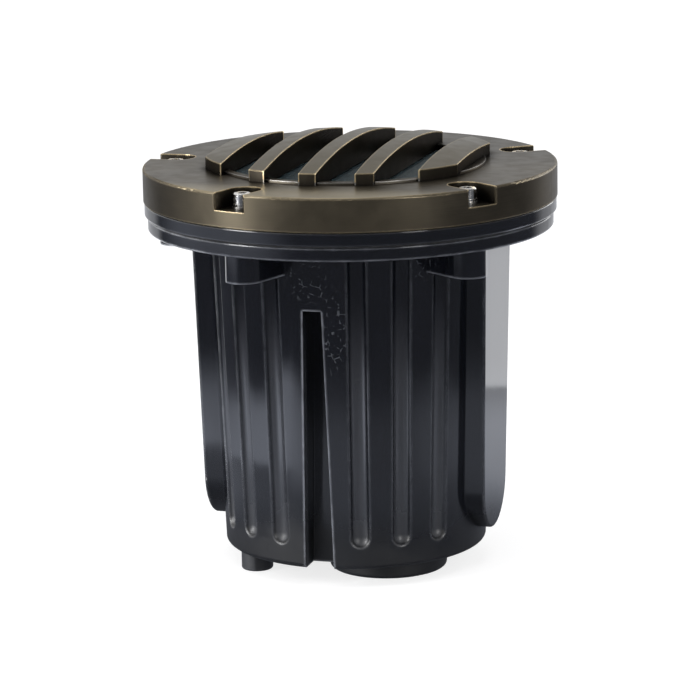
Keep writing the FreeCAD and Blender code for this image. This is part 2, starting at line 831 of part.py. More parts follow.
def make_lamp_ring():
    low = pivot_z - holder_height / 2.0
    high = pivot_z + holder_height / 2.0
    root = lamp_bowl_radius
    shoulder = lying(disc(pivot_shoulder_radius, 0.0, shoulder_face - root), root, pivot_z)
    stud = lying(disc(pivot_stud_radius, 0.0, stud_end - root), root, pivot_z)
    pivot = shoulder.fuse(stud)
    ring = merged([disc(holder_outer, low, high), pivot, spun(pivot, 180)])
    ring = ring.cut([disc(holder_inner, low + holder_sheet, high + 1.0),
                     disc(lamp_bowl_radius + holder_opening, low - 1.0, high)])
    save("lamp_ring", [ring])
    inner = lamp_bowl_radius + holder_opening
    save("lamp_cushion", [tube(inner, holder_inner - running_gap, low + holder_sheet, lamp_rim_low_z)])


def make_snap_ring():
    level = lamp_rim_top_z + snap_wire_radius + running_gap
    circle = holder_inner - snap_wire_radius - running_gap
    spring = Part.makeTorus(circle, snap_wire_radius, vec(0, 0, level), Z_AXIS)
    gap = block(0, holder_outer, -snap_gap / 2.0, snap_gap / 2.0, level - MORE, level + MORE)
    save("snap_ring", [spun(spring.cut(gap), snap_gap_angle)])


def make_tilt_hardware():
    washer = tube(pivot_stud_radius + running_gap, tilt_washer_radius, 0.0, tilt_washer_thickness)
    washers = lying(washer, tilt_washer_face - tilt_washer_thickness, pivot_z)
    save("tilt_washers", ring_of(washers, (0, 180)))
    nut = hexagon(tilt_nut_flats, 0.0, tilt_nut_thickness)
    nut = nut.cut(disc(pivot_stud_radius + running_gap, -1.0, tilt_nut_thickness + 1.0))
    nuts = lying(nut, tilt_washer_face + running_gap, pivot_z)
    save("tilt_nuts", ring_of(nuts, (0, 180)))


# ---- yoke and swivel ----

def strip_outline(points, thickness):
    # Offsets a bent centreline to both sides, with mitred corners.
    sides = ([], [])
    for i, (x, z) in enumerate(points):
        before = points[max(i - 1, 0)]
        after = points[min(i + 1, len(points) - 1)]
        turns = []
        for (xa, za), (xb, zb) in ((before, (x, z)), ((x, z), after)):
            length = math.hypot(xb - xa, zb - za)
            if length > 0:
                turns.append(((zb - za) / length, (xa - xb) / length))
        nx = sum(t[0] for t in turns)
        nz = sum(t[1] for t in turns)
        size = math.hypot(nx, nz)
        reach = thickness / 2.0 / (size / len(turns))
        sides[0].append((x + nx / size * reach, z + nz / size * reach))
        sides[1].append((x - nx / size * reach, z - nz / size * reach))
    return sides[0] + sides[1][::-1]


def make_yoke():
    arm = (arm_inner + arm_outer) / 2.0
    waist = waist_outer - yoke_sheet / 2.0
    waist_z = channel_top_z + wall + yoke_waist_gap
    shoulder_z = waist_z + (arm - waist) * yoke_flare_rise
    top = pivot_z + yoke_width / 2.0
    right = [(waist, yoke_mid_z), (waist, waist_z), (arm, shoulder_z), (arm, top)]
    left = [(-x, z) for x, z in reversed(right)]
    strip = prism_along_y(strip_outline(left + right, yoke_sheet), -yoke_width / 2.0, yoke_width / 2.0)
    rounding = disc(yoke_width / 2.0, -arm_outer - 1.0, arm_outer + 1.0)
    rounding = lying(rounding, 0.0, pivot_z)
    body = block(-arm_outer - 1.0, arm_outer + 1.0, -yoke_width, yoke_width, 0.0, pivot_z)
    strip = strip.common(rounding.fuse(body))
    bore = lying(disc(pivot_stud_radius + running_gap, -arm_outer - 1.0, arm_outer + 1.0), 0.0, pivot_z)
    pin = disc(swivel_bolt_radius + running_gap, yoke_mid_z - MORE, yoke_mid_z + MORE)
    save("yoke", [strip.cut([bore, pin]).removeSplitter()])


def make_swivel():
    bore = swivel_bolt_radius + running_gap
    washer_top = bracket_top_z + thrust_washer_thickness
    save("thrust_washer", [tube(bore, thrust_washer_radius, bracket_top_z, washer_top)])
    spring_z = spring_top_z - spring_washer_thickness
    save("spring_washer", [tube(bore, spring_washer_radius, spring_z, spring_top_z)])
    nut_top = bracket_top_z - bracket_sheet
    nut_low = nut_top - swivel_nut_height
    bolt = disc(swivel_bolt_radius, nut_low - swivel_bolt_tail, spring_top_z)
    bolt = bolt.fuse(hexagon(hex_m6_flats, spring_top_z, swivel_head_z))
    save("swivel_bolt", [bolt.removeSplitter()])
    nut = hexagon(hex_m6_flats, nut_low, nut_top)
    save("swivel_nut", [nut.cut(disc(bore, nut_low - 1.0, nut_top + 1.0))])


def make_bracket():
    half = bracket_sheet / 2.0
    leg = bracket_foot_end - bracket_foot
    foot_z = floor_boss_z + half
    right = [(leg, bracket_top_z - half), (leg, foot_z), (bracket_foot_end, foot_z)]
    left = [(-x, z) for x, z in reversed(right)]
    outline = strip_outline(left + right, bracket_sheet)
    hat = spun(prism_along_y(outline, -bracket_width / 2.0, bracket_width / 2.0), 90)
    top = floor_boss_z + bracket_sheet
    head_top = top + bracket_head_height
    cuts = [disc(swivel_bolt_radius + running_gap, bracket_top_z - MORE, bracket_top_z + 1.0)]
    screws = []
    for side in (-1, 1):
        y = side * bracket_screw_y
        cuts.append(disc(pilot_radius + bracket_hole_slack, floor_boss_z - 1.0, top + 1.0, 0, y))
        screw = disc(bracket_screw_radius, top - bracket_screw_length, top, 0, y)
        head = disc(bracket_head_radius, top, head_top, 0, y)
        slot = block(-MORE, MORE, y - bracket_slot / 2.0, y + bracket_slot / 2.0,
                     head_top - bracket_slot, head_top + 1.0)
        screws.append(screw.fuse(head).cut(slot))
    save("support_bracket", [hat.cut(cuts)])
    save("bracket_screws", screws)


# ---- supply joint ----

def terminal_way(x, low, high):
    # One way of the block: what is cut for it, its sleeve and its two clamping screws.
    half_y = terminal_width / 2.0
    level = low + terminal_bore_height
    start = -half_y + terminal_sleeve_inset
    sleeve_radius = terminal_bore_radius - running_gap
    cuts = [Part.makeCylinder(terminal_bore_radius, terminal_width + MORE,
                              vec(x, -half_y - 1.0, level), Y_AXIS)]
    sleeve = Part.makeCylinder(sleeve_radius, -2.0 * start, vec(x, start, level), Y_AXIS)
    wire_hole = Part.makeCylinder(sleeve_radius - terminal_sleeve_wall, terminal_width,
                                  vec(x, -half_y, level), Y_AXIS)
    sleeve = sleeve.cut(wire_hole)
    screw_low = level + terminal_screw_radius
    screw_top = high - terminal_screw_sink
    screws = []
    for end in (-1, 1):
        y = end * terminal_screw_offset
        cuts.append(disc(terminal_screw_radius + terminal_screw_slack, level, high + 1.0, x, y))
        sleeve = sleeve.cut(disc(terminal_screw_radius + running_gap, level, high, x, y))
        screw = disc(terminal_screw_radius, screw_low, screw_top, x, y)
        slot = block(x - lug_width, x + lug_width, y - terminal_slot / 2.0, y + terminal_slot / 2.0,
                     screw_top - terminal_slot, high)
        screws.append(screw.cut(slot))
    return cuts, sleeve, screws


def make_terminal_block():
    low = floor_z + terminal_pad_height
    high = low + terminal_height
    half_x = terminal_length / 2.0
    half_y = terminal_width / 2.0
    body = block(terminal_x - half_x, terminal_x + half_x, -half_y, half_y, low, high)
    upright = [e for e in body.Edges if e.BoundBox.ZLength > terminal_height - 0.01]
    body = body.makeFillet(terminal_corner, upright)
    seat = high - terminal_sink_depth
    cuts = [disc(small_screw_radius + screw_clearance, low - 1.0, high + 1.0, terminal_x, 0),
            disc(small_head_radius + screw_clearance, seat, high + 1.0, terminal_x, 0)]
    sleeves = []
    screws = []
    for side in (-1, 1):
        way_cuts, sleeve, way_screws = terminal_way(terminal_x + side * terminal_pitch, low, high)
        cuts += way_cuts
        sleeves.append(sleeve)
        screws += way_screws
    save("terminal_block", [body.cut(cuts).removeSplitter()])
    save("terminal_sleeves", sleeves)
    save("terminal_screws", screws)
    head_top = seat + small_head_height
    screw = disc(small_screw_radius, floor_z + fixing_tip_room, seat, terminal_x, 0)
    head = disc(small_head_radius, seat, head_top, terminal_x, 0)
    slot = block(terminal_x - MORE, terminal_x + MORE, -slot_width / 2.0, slot_width / 2.0,
                 head_top - slot_depth, high)
    save("terminal_fixing_screw", [screw.fuse(head).cut(slot)])


# ---- cable entry ----

def at_hub(shape):
    shape.translate(vec(hub_x, hub_y, 0))
    return shape


def make_gland():
    washer_top = floor_z + gland_washer_thickness
    hex_top = washer_top + gland_hex_height
    barrel_top = hex_top + gland_barrel_height
    seal_low = barrel_top - gland_seal_depth
    seal_top = barrel_top + gland_seal_stand
    nut_top = hex_top + gland_nut_height
    save("gland_washer", [at_hub(tube(hub_bore_radius, gland_washer_radius, floor_z, washer_top))])
    body = disc(hub_bore_radius - running_gap, gland_thread_start, washer_top)
    body = body.fuse([hexagon(gland_flats, washer_top, hex_top),
                      disc(gland_barrel_radius, hex_top, barrel_top)])
    body = body.cut([disc(cable_radius, 0.0, barrel_top + 1.0),
                     disc(gland_seal_radius + running_gap, seal_low, barrel_top + 1.0)])
    save("gland_body", [at_hub(body.removeSplitter())])
    save("gland_seal", [at_hub(tube(cable_radius, gland_seal_radius, seal_low, seal_top))])
    nut = disc(gland_nut_radius, hex_top + gland_nut_lift, nut_top)
    nut = nut.makeFillet(gland_nut_top, [e for e in nut.Edges if e.BoundBox.ZMin > nut_top - 0.01])
    nut = nut.cut([disc(gland_barrel_radius + running_gap, hex_top, seal_top + running_gap),
                   disc(cable_radius, hex_top, nut_top + 1.0)])
    grip = disc(grip_radius, hex_top, nut_top - gland_nut_top, gland_nut_radius + grip_offset, 0)
    grips = ring_of(grip, [360.0 / grip_count * i for i in range(grip_count)])
    save("gland_nut", [at_hub(nut.cut(grips))])


os.makedirs("parts", exist_ok=True)
make_housing()
make_inserts()
make_gasket()
make_mounting_ring()
make_ring_screws()
make_cover_gasket()
make_cover()
make_lens()
make_clamp_ring()
make_cover_screws()
make_reflector()
make_lamp_lens()
make_burner()
make_lugs()
make_lamp_ring()
make_snap_ring()
make_tilt_hardware()
make_yoke()
make_swivel()
make_bracket()
make_terminal_block()
make_gland()
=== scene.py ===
import json
import math

import bpy
from mathutils import Matrix, Vector

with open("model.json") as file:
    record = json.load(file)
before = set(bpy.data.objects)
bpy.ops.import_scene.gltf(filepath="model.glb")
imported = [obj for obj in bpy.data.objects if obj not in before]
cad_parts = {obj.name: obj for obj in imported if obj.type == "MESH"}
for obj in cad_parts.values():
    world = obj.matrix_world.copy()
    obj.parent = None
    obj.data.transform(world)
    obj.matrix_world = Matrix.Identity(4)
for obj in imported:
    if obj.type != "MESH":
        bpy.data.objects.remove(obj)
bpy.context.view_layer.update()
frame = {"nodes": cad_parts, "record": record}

# Heights and radii on the object that the materials follow, in metres.
MM = 0.001
WALL_FOOT_RADIUS = 0.06445
WALL_TOP_RADIUS = 0.07060
FLANGE_UNDERSIDE = 0.1681
RING_UNDERSIDE = 0.1755
COVER_FACE = 0.1987
LIP_TOP = 0.1999
LIP_RADIUS = 0.0710
GRILLE_RADIUS = 0.0860


# ---- shader trees ----

class Tree:
    """Adds nodes to a shader tree. A value is a number, a colour or another node's output."""

    clamped = False

    def __init__(self, tree):
        self.tree = tree

    def add(self, kind, **settings):
        node = self.tree.nodes.new(kind)
        for key, value in settings.items():
            setattr(node, key, value)
        return node

    def feed(self, socket, value):
        if isinstance(value, (int, float)):
            socket.default_value = value
        elif isinstance(value, tuple):
            socket.default_value = value + (1.0,)
        else:
            self.tree.links.new(value, socket)

    def ramp(self, value, low, high, to_low=0.0, to_high=1.0, shape="SMOOTHSTEP"):
        """Runs from to_low at low to to_high at high, and stays level beyond them."""
        node = self.add("ShaderNodeMapRange", interpolation_type=shape)
        self.feed(node.inputs["Value"], value)
        self.feed(node.inputs["From Min"], low)
        self.feed(node.inputs["From Max"], high)
        self.feed(node.inputs["To Min"], to_low)
        self.feed(node.inputs["To Max"], to_high)
        return node.outputs["Result"]

    def maths(self, operation, *values):
        """The operation on the first two values, then on its result and the next, and so on."""
        result = values[0]
        for value in values[1:]:
            node = self.add("ShaderNodeMath", operation=operation, use_clamp=self.clamped)
            self.feed(node.inputs[0], result)
            self.feed(node.inputs[1], value)
            result = node.outputs["Value"]
        return result

    def product(self, *values):
        return self.maths("MULTIPLY", *values)

    def total(self, *values):
        return self.maths("ADD", *values)

    def without(self, mask):
        """1 where the mask is 0."""
        return self.maths("SUBTRACT", 1.0, mask)

    def split(self, vector):
        """The X, Y and Z of a vector."""
        node = self.add("ShaderNodeSeparateXYZ")
        self.feed(node.inputs[0], vector)
        return node.outputs

    def length(self, vector):
        node = self.add("ShaderNodeVectorMath", operation="LENGTH")
        self.feed(node.inputs[0], vector)
        return node.outputs["Value"]


class Look(Tree):
    """One procedural material of the object, on a Principled shader."""

    clamped = True

    def __init__(self, name, **sockets):
        self.material = bpy.data.materials.new(name)
        self.material.use_nodes = True
        super().__init__(self.material.node_tree)
        self.shader = self.tree.nodes["Principled BSDF"]
        self.place = self.add("ShaderNodeTexCoord").outputs["Object"]
        for socket, value in sockets.items():
            self.shader.inputs[socket.replace("_", " ")].default_value = value

    # patterns

    def stretched(self, scale):
        node = self.add("ShaderNodeMapping")
        node.inputs["Scale"].default_value = scale
        self.feed(node.inputs["Vector"], self.place)
        return node.outputs["Vector"]

    def noise(self, scale, detail=3.0, rough=0.5, where=None):
        node = self.add("ShaderNodeTexNoise")
        self.feed(node.inputs["Vector"], where or self.place)
        self.feed(node.inputs["Scale"], scale)
        self.feed(node.inputs["Detail"], detail)
        self.feed(node.inputs["Roughness"], rough)
        return node.outputs["Fac"]

    def grain_along(self, stretch, detail=4.0):
        """Fine lines: noise squeezed by its own number along X, Y and Z."""
        return self.noise(1.0, detail, 0.6, self.stretched(stretch))

    def cells(self, scale, feature="F1"):
        node = self.add("ShaderNodeTexVoronoi", feature=feature)
        self.feed(node.inputs["Vector"], self.place)
        self.feed(node.inputs["Scale"], scale)
        return node.outputs["Distance"]

    def mix(self, amount, first, second):
        node = self.add("ShaderNodeMix", data_type="RGBA")
        for name, value in (("Factor", amount), ("A", first), ("B", second)):
            self.feed([s for s in node.inputs if s.name == name and s.enabled][0], value)
        return [s for s in node.outputs if s.enabled][0]

    # places on the object

    def from_axis(self):
        """Distance from the light's vertical axis."""
        place = self.split(self.place)
        flat = self.add("ShaderNodeCombineXYZ")
        self.feed(flat.inputs["X"], place["X"])
        self.feed(flat.inputs["Y"], place["Y"])
        return self.length(flat.outputs[0])

    def near(self, centre, reach, spread):
        """1 at a centre, 0 beyond the reach; the spread scales distances along X, Y and Z."""
        node = self.add("ShaderNodeVectorMath", operation="DISTANCE")
        self.feed(node.inputs[0], self.stretched(spread))
        node.inputs[1].default_value = tuple(c * k for c, k in zip(centre, spread))
        return self.ramp(node.outputs["Value"], reach * 0.4, reach, 1.0, 0.0)

    def below_wall(self, height, radius):
        """How far a place lies inside the housing's drafted wall."""
        wall = self.ramp(height, 0.0, FLANGE_UNDERSIDE, WALL_FOOT_RADIUS, WALL_TOP_RADIUS,
                         shape="LINEAR")
        return self.maths("SUBTRACT", wall, radius)

    def level(self):
        """1 on faces that look up, 0 on upright ones."""
        normal = self.split(self.add("ShaderNodeNewGeometry").outputs["Normal"])
        return self.ramp(normal["Z"], 0.35, 0.70)

    def edges(self, width):
        """Near 1 on outer edges, 0 on open faces."""
        node = self.add("ShaderNodeAmbientOcclusion", inside=True, only_local=True, samples=6)
        self.feed(node.inputs["Distance"], width)
        return self.ramp(node.outputs["AO"], 0.55, 0.93, 1.0, 0.0)

    def hollows(self, width):
        """Near 1 in corners and pockets, 0 on open faces."""
        node = self.add("ShaderNodeAmbientOcclusion", samples=6)
        self.feed(node.inputs["Distance"], width)
        return self.ramp(node.outputs["AO"], 0.35, 0.95, 1.0, 0.0)

    # the shader's sockets

    def colour(self, source):
        self.feed(self.shader.inputs["Base Color"], source)

    def roughness(self, source):
        self.feed(self.shader.inputs["Roughness"], source)

    def rounded(self, radius):
        """Lets sharp edges catch the light as small moulded rounds do."""
        node = self.add("ShaderNodeBevel", samples=4)
        self.feed(node.inputs["Radius"], radius)
        self.feed(self.shader.inputs["Normal"], node.outputs["Normal"])

    def bump(self, height, strength, distance):
        """Adds to the relief that is there already."""
        node = self.add("ShaderNodeBump")
        self.feed(node.inputs["Strength"], strength)
        self.feed(node.inputs["Distance"], distance)
        self.feed(node.inputs["Height"], height)
        previous = self.shader.inputs["Normal"].links
        if previous:
            self.feed(node.inputs["Normal"], previous[0].from_socket)
        self.feed(self.shader.inputs["Normal"], node.outputs["Normal"])


# ---- materials that the photo shows ----

def cast_bronze():
    """Dark antique bronze: dark patina in hollows, painted shade on the ribs' flanks and at the
    rear, painted highlights on the rib tops and at the front, rubbed bare on its edges.
    """
    look = Look("antique_bronze", Metallic=0.9, Specular_IOR_Level=0.5)
    place = look.split(look.place)
    radius = look.from_axis()
    cloud = look.noise(30.0, 4.0)
    brushed = look.grain_along((60.0, 60.0, 2600.0))
    fine = look.noise(900.0, 4.0, 0.6)
    patina_and_painted_light = look.mix(look.ramp(cloud, 0.3, 0.7), (0.078, 0.067, 0.050), (0.097, 0.083, 0.062))
    patina_and_painted_light = look.mix(look.ramp(brushed, 0.35, 0.7, 0.0, 0.35), patina_and_painted_light, (0.115, 0.098, 0.072))
    patina_and_painted_light = look.mix(look.ramp(fine, 0.55, 0.8, 0.0, 0.3), patina_and_painted_light, (0.13, 0.11, 0.078))

    # Painted light: a paler tone at the front, a painted highlight on the front of the flat face,
    # and painted shade making the rear darker.
    lit_front = look.ramp(place["Y"], -0.092, -0.066, 1.0, 0.0)
    patina_and_painted_light = look.mix(look.product(lit_front, 0.45), patina_and_painted_light, (0.150, 0.126, 0.085))
    on_face = look.ramp(place["Z"], COVER_FACE - 0.9 * MM, COVER_FACE - 0.1 * MM)
    face_highlight = look.product(lit_front, on_face)
    patina_and_painted_light = look.mix(look.product(face_highlight, 0.95), patina_and_painted_light, (0.300, 0.258, 0.180))
    rear = look.ramp(place["Y"], -0.01, 0.06)
    patina_and_painted_light = look.mix(look.product(rear, 0.7), patina_and_painted_light, (0.050, 0.045, 0.037))

    # Painted highlight on the ribs' tops, painted shade on their flanks inside the grille, and
    # dark patina in the hollows.
    level = look.level()
    crown_highlight = look.product(level, look.ramp(place["Z"], LIP_TOP + 0.4 * MM, LIP_TOP + 2.1 * MM))
    patina_and_painted_light = look.mix(look.product(crown_highlight, 0.3), patina_and_painted_light, (0.185, 0.168, 0.125))
    in_grille = look.ramp(radius, GRILLE_RADIUS - 6.0 * MM, GRILLE_RADIUS, 1.0, 0.0)
    painted_flank_shade = look.product(look.without(level), in_grille)
    patina_and_flank_shade = look.maths("MAXIMUM", look.hollows(0.010), look.product(painted_flank_shade, 0.50))
    patina_and_painted_light = look.mix(look.product(patina_and_flank_shade, 0.92), patina_and_painted_light, (0.008, 0.0075, 0.008))

    # Bare metal on the edges, but not beside the glass, and greyer on the lip.
    window = look.ramp(radius, LIP_RADIUS - 2.5 * MM, LIP_RADIUS, 1.0, 0.0)
    beside_glass = look.ramp(place["Z"], COVER_FACE - 1.1 * MM, COVER_FACE - 0.5 * MM, 1.0, 0.0)
    sheltered = look.product(window, beside_glass)
    rubbed = look.ramp(look.noise(170.0), 0.3, 0.6, 0.7, 1.0)
    rubbed = look.product(rubbed, look.without(sheltered))
    worn = look.product(look.edges(0.8 * MM), rubbed)
    lip = look.product(window, look.ramp(place["Z"], LIP_TOP, LIP_TOP + 0.7 * MM, 1.0, 0.0))
    bare = look.mix(lip, (0.95, 0.76, 0.46), (0.42, 0.41, 0.39))
    look.colour(look.mix(worn, patina_and_painted_light, bare))

    # The reflections' tint darkens with it: dark patina in the hollows, painted shade on the ribs'
    # flanks.
    tint = look.mix(patina_and_flank_shade, (0.62, 0.62, 0.62), (0.03, 0.03, 0.035))
    look.feed(look.shader.inputs["Specular Tint"], tint)
    look.roughness(look.ramp(look.noise(110.0, 4.0), 0.3, 0.75, 0.30, 0.38))
    look.bump(fine, 0.06, 0.0001)
    look.bump(brushed, 0.04, 0.0001)
    return look.material


# Places of the scuff marks below the flange: centre, reach and spread.
SCUFFS = (
    ((-0.0015, -0.070, 0.153), 0.014, (1.0, 1.0, 1.0)),
    ((0.0104, -0.069, 0.127), 0.010, (1.0, 1.0, 0.35)),
    ((0.051, -0.048, 0.160), 0.013, (1.0, 1.0, 1.0)),
)


def black_moulding():
    """Glossy black plastic: painted highlights on the edges, dusty flutes, scuff marks and a dull
    foot.
    """
    look = Look("black_moulded_plastic", Specular_IOR_Level=1.0)
    look.rounded(0.7 * MM)
    place = look.split(look.place)
    cloud = look.noise(26.0, 4.0, 0.55)
    streak = look.grain_along((420.0, 420.0, 26.0), 5.0)
    dust = look.ramp(look.noise(900.0, 3.0, 0.7), 0.70, 0.80, 0.0, 0.3)
    black = look.ramp(cloud, 0.35, 0.7)
    body = look.mix(black, (0.0018, 0.0022, 0.0038), (0.0030, 0.0035, 0.0058))
    body = look.mix(dust, body, (0.03, 0.032, 0.038))

    # Dust in the lower part of the flutes, which are 3.2 mm deep.
    depth = look.below_wall(place["Z"], look.from_axis())
    in_flute = look.product(look.ramp(depth, 1.0 * MM, 2.0 * MM),
                            look.ramp(depth, 5.0 * MM, 6.0 * MM, 1.0, 0.0))
    grooves = look.product(in_flute, look.ramp(place["Z"], 0.095, 0.150, 1.0, 0.0))
    body = look.mix(look.product(grooves, 0.8), body, (0.034, 0.036, 0.043))

    patches = look.maths("MAXIMUM", *[look.near(*scuff) for scuff in SCUFFS])
    cracks = look.ramp(look.cells(260.0, "DISTANCE_TO_EDGE"), 0.0, 0.05, 1.0, 0.0)
    cracks = look.product(cracks, look.ramp(look.noise(420.0), 0.50, 0.62))
    body = look.mix(look.product(patches, cracks, 0.5), body, (0.15, 0.16, 0.18))

    # Painted highlights along the edges, broken up by noise, faint on the ring under the cover and
    # palest on the left, where the light falls.
    below_ring = look.ramp(place["Z"], RING_UNDERSIDE - 0.5 * MM, RING_UNDERSIDE + 0.1 * MM,
                           1.0, 0.12)
    rubbed = look.ramp(look.noise(90.0, 4.0, 0.6), 0.35, 0.65, 0.45, 1.0)
    # A painted highlight on the edges, not wear.
    worn = look.product(look.edges(1.4 * MM), below_ring, rubbed)
    left = look.ramp(place["X"], -0.058, -0.036, 1.0, 0.0)
    edge_highlight_colour = look.mix(left, (0.20, 0.21, 0.24), (0.58, 0.60, 0.64))
    look.colour(look.mix(worn, body, edge_highlight_colour))

    blotch = look.ramp(cloud, 0.3, 0.75, 0.055, 0.10)
    lines = look.ramp(streak, 0.5, 0.8, 0.0, 0.05)
    foot = look.ramp(look.total(place["Z"], look.product(cloud, 0.06)), 0.045, 0.078, 0.38, 0.0)
    look.roughness(look.total(blotch, lines, foot, look.product(grooves, 0.10)))
    look.bump(look.noise(14.0, 2.0), 0.16, 0.0012)
    look.bump(look.noise(260.0), 0.03, 0.0002)
    return look.material


def lens_glass():
    look = Look("tempered_glass", Transmission_Weight=0.86, IOR=1.5)
    haze = look.noise(45.0, 4.0, 0.6)
    look.colour(look.mix(look.ramp(haze, 0.3, 0.8), (0.36, 0.46, 0.50), (0.23, 0.31, 0.35)))
    look.roughness(look.ramp(haze, 0.35, 0.8, 0.015, 0.10))
    look.bump(look.noise(18.0, 2.0), 0.03, 0.0005)
    return look.material


def stainless():
    look = Look("stainless_steel", Metallic=1.0)
    turned = look.grain_along((2600.0, 2600.0, 300.0))
    look.colour(look.mix(look.ramp(turned, 0.3, 0.7), (0.60, 0.59, 0.57), (0.80, 0.79, 0.77)))
    look.roughness(look.ramp(look.noise(500.0), 0.3, 0.7, 0.14, 0.30))
    look.bump(turned, 0.06, 0.0001)
    return look.material


# ---- materials inside the light ----

def soft_rubber():
    look = Look("silicone_rubber", Specular_IOR_Level=0.3)
    grain = look.noise(800.0)
    look.colour(look.mix(look.ramp(grain, 0.3, 0.7), (0.016, 0.016, 0.017), (0.034, 0.034, 0.036)))
    look.roughness(look.ramp(look.noise(120.0), 0.3, 0.7, 0.62, 0.80))
    look.bump(grain, 0.2, 0.0002)
    return look.material


def turned_brass():
    look = Look("bare_brass", Metallic=1.0)
    lines = look.grain_along((500.0, 500.0, 4200.0))
    tarnish = look.noise(260.0, 4.0)
    bright = look.mix(look.ramp(lines, 0.3, 0.7), (0.66, 0.47, 0.20), (0.82, 0.62, 0.31))
    look.colour(look.mix(look.ramp(tarnish, 0.55, 0.75, 0.0, 0.6), bright, (0.38, 0.24, 0.10)))
    look.roughness(look.ramp(tarnish, 0.3, 0.7, 0.20, 0.38))
    look.bump(lines, 0.10, 0.0001)
    return look.material


def zinc_plate():
    look = Look("zinc_plated_steel", Metallic=1.0)
    spangle = look.cells(190.0)
    rolled = look.grain_along((1500.0, 90.0, 90.0))
    base = look.mix(look.ramp(spangle, 0.1, 0.7), (0.44, 0.46, 0.49), (0.60, 0.61, 0.62))
    look.colour(look.mix(look.ramp(rolled, 0.4, 0.7, 0.0, 0.4), base, (0.70, 0.70, 0.68)))
    look.roughness(look.ramp(rolled, 0.3, 0.7, 0.26, 0.42))
    look.bump(rolled, 0.07, 0.0001)
    return look.material


def plain_plastic(name, dark, light, rough_low, rough_high):
    look = Look(name, Specular_IOR_Level=0.45)
    grain = look.noise(600.0, 4.0, 0.6)
    body = look.mix(look.ramp(look.noise(70.0), 0.3, 0.7), dark, light)
    # Darker towards the hollows.
    hollow_darkening = tuple(c * 0.6 for c in dark)
    look.colour(look.mix(look.product(look.hollows(3.0 * MM), 0.5), body, hollow_darkening))
    look.roughness(look.ramp(grain, 0.3, 0.7, rough_low, rough_high))
    look.bump(grain, 0.12, 0.00015)
    return look.material


def lamp_silver():
    look = Look("aluminised_glass", Metallic=1.0)
    cloud = look.noise(160.0)
    look.colour(look.mix(look.ramp(cloud, 0.3, 0.7), (0.78, 0.79, 0.80), (0.90, 0.90, 0.90)))
    look.roughness(look.ramp(cloud, 0.3, 0.7, 0.07, 0.16))
    look.bump(look.cells(140.0), 0.25, 0.0006)
    return look.material


def lamp_glass():
    """Clear glass with pressed flutes."""
    look = Look("pressed_lamp_glass", Transmission_Weight=1.0, IOR=1.47)
    flutes = look.add("ShaderNodeTexWave", wave_type="BANDS", bands_direction="X",
                      wave_profile="SIN")
    look.feed(flutes.inputs["Scale"], 70.0)
    look.feed(flutes.inputs["Vector"], look.place)
    cloud = look.noise(90.0)
    look.colour(look.mix(look.ramp(cloud, 0.3, 0.7), (0.93, 0.95, 0.95), (0.86, 0.89, 0.90)))
    look.roughness(look.ramp(cloud, 0.3, 0.7, 0.02, 0.07))
    look.bump(flutes.outputs["Fac"], 0.5, 0.0006)
    return look.material


def frosted_capsule():
    look = Look("frosted_capsule", Transmission_Weight=0.7, IOR=1.45)
    cloud = look.noise(400.0)
    look.colour(look.mix(look.ramp(cloud, 0.3, 0.7), (0.88, 0.86, 0.78), (0.95, 0.94, 0.90)))
    look.roughness(look.ramp(cloud, 0.3, 0.7, 0.35, 0.5))
    look.bump(cloud, 0.1, 0.0001)
    return look.material


LOOKS = {
    "cast_bronze": cast_bronze(),
    "black_moulding": black_moulding(),
    "clear_lens": lens_glass(),
    "seal_rubber": soft_rubber(),
    "stainless": stainless(),
    "insert_brass": turned_brass(),
    "zinc_steel": zinc_plate(),
    "nylon": plain_plastic("natural_nylon",
                           (0.62, 0.60, 0.53), (0.72, 0.70, 0.63), 0.42, 0.58),
    "gland_plastic": plain_plastic("gland_nylon",
                                   (0.030, 0.031, 0.034), (0.050, 0.051, 0.055), 0.40, 0.55),
    "block_ivory": plain_plastic("ivory_block",
                                 (0.70, 0.66, 0.57), (0.80, 0.77, 0.69), 0.50, 0.68),
    "lamp_silver": lamp_silver(),
    "lamp_glass": lamp_glass(),
    "burner_glass": frosted_capsule(),
}

for row in frame["record"]["subparts"]:
    node = frame["nodes"][row["node"]]
    node.data.materials.clear()
    node.data.materials.append(LOOKS[row["material_slot"]])


# ---- floor, background and lamps ----

class Surroundings(Tree):
    """A shader tree of the floor or the world, made from nothing."""

    def __init__(self, tree):
        super().__init__(tree)
        tree.nodes.clear()

    def window(self, value, edges):
        """1 between two edges, 0 outside; each edge is soft, from one number to the next."""
        return self.product(self.ramp(value, *edges[:2]), self.ramp(value, *edges[2:], 1.0, 0.0))

    def blend(self, amount, first, second):
        node = self.add("ShaderNodeMixShader")
        for socket, value in zip(node.inputs, (amount, first, second)):
            self.feed(socket, value)
        return node.outputs[0]

    def glow(self, colour, strength):
        node = self.add("ShaderNodeEmission")
        self.feed(node.inputs["Color"], colour)
        self.feed(node.inputs["Strength"], strength)
        return node.outputs[0]

    def paint(self, colour):
        node = self.add("ShaderNodeBsdfDiffuse")
        self.feed(node.inputs["Color"], colour)
        return node.outputs[0]

    def both(self, first, second):
        node = self.add("ShaderNodeAddShader")
        self.feed(node.inputs[0], first)
        self.feed(node.inputs[1], second)
        return node.outputs[0]

    def ray(self, *kinds):
        """1 when the ray is one of the kinds named."""
        path = self.add("ShaderNodeLightPath")
        return self.maths("MAXIMUM", *[path.outputs[f"Is {kind} Ray"] for kind in kinds])

    def bearings(self, output):
        """Distance from the middle, and azimuth in degrees as the views have it."""
        place = self.add("ShaderNodeTexCoord").outputs[output]
        parts = self.split(place)
        angle = self.maths("ARCTAN2", parts["X"], self.product(parts["Y"], -1.0))
        return self.length(place), self.product(angle, 180.0 / math.pi)


